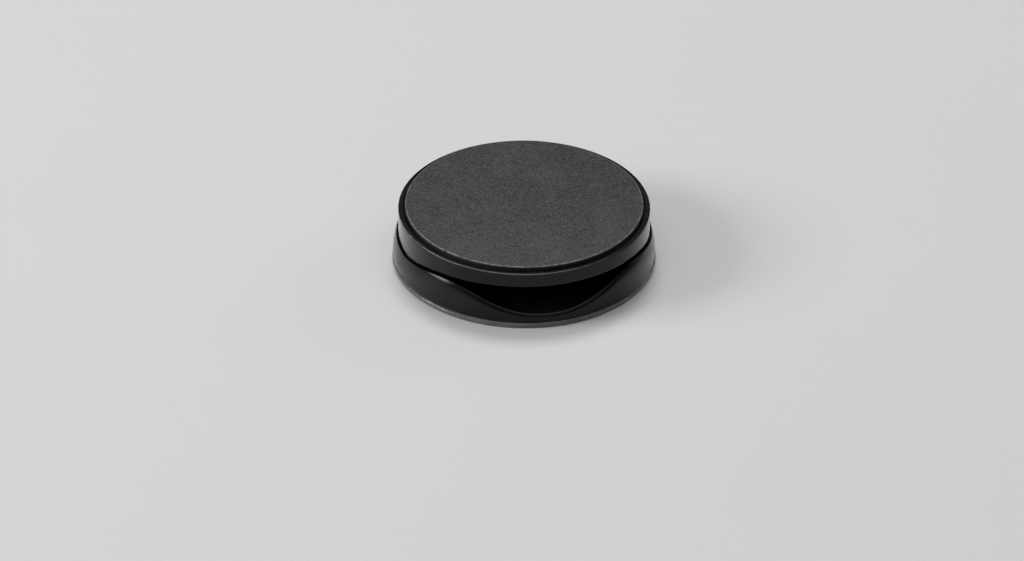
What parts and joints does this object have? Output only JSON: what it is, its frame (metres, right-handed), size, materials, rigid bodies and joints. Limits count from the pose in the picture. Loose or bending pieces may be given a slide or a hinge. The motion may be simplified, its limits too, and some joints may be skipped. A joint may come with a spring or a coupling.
{
  "type": "phone holder",
  "caption": "Round flip-lid phone holder: a swivelling cup on a clear gel pad, with a finger scoop and a hinged lid that carries a textured pad.",
  "frame": {"origin": "centre of the gel pad's underside, where it meets the phone", "axes": "+Z out of the phone through the lid, -Y towards the finger scoop, +Y towards the lid hinge"},
  "size_m": [0.0439, 0.0438, 0.0107],
  "materials": {
    "clear_gel": "clear, glossy, slightly tacky gel",
    "cup_plastic": "satin black moulded plastic",
    "lid_plastic": "satin black moulded plastic with a fine grain",
    "inner_plastic": "matt black moulded plastic",
    "glide_plastic": "smooth low-friction plastic",
    "textured_pad": "charcoal non-slip pad with a fine grain",
    "adhesive": "thin black double-sided adhesive",
    "steel": "bright zinc-plated steel"
  },
  "bodies": {
    "mount": {"gel_pad": "clear_gel", "mount_disc": "inner_plastic", "glide_ring": "glide_plastic", "hub_washer": "steel", "hub_screw": "steel"},
    "cup": {"base_cup": "cup_plastic", "hub_cap": "inner_plastic", "hinge_pin": "steel", "hinge_washers": "steel"},
    "lid": {"lid_liner": "inner_plastic", "lid_shell": "lid_plastic", "lid_screws": "steel", "top_adhesive": "adhesive", "top_pad": "textured_pad"}
  },
  "joints": [
    {"name": "cup_swivel", "type": "hinge", "parent": "mount", "child": "cup", "pos_m": [0, 0, 0.00145], "axis": [0, 0, 1], "continuous": true},
    {"name": "lid_flip", "type": "hinge", "parent": "cup", "child": "lid", "pos_m": [0, 0.0194, 0.0063], "axis": [-1, 0, 0], "range_deg": [0, 95]}
  ]
}
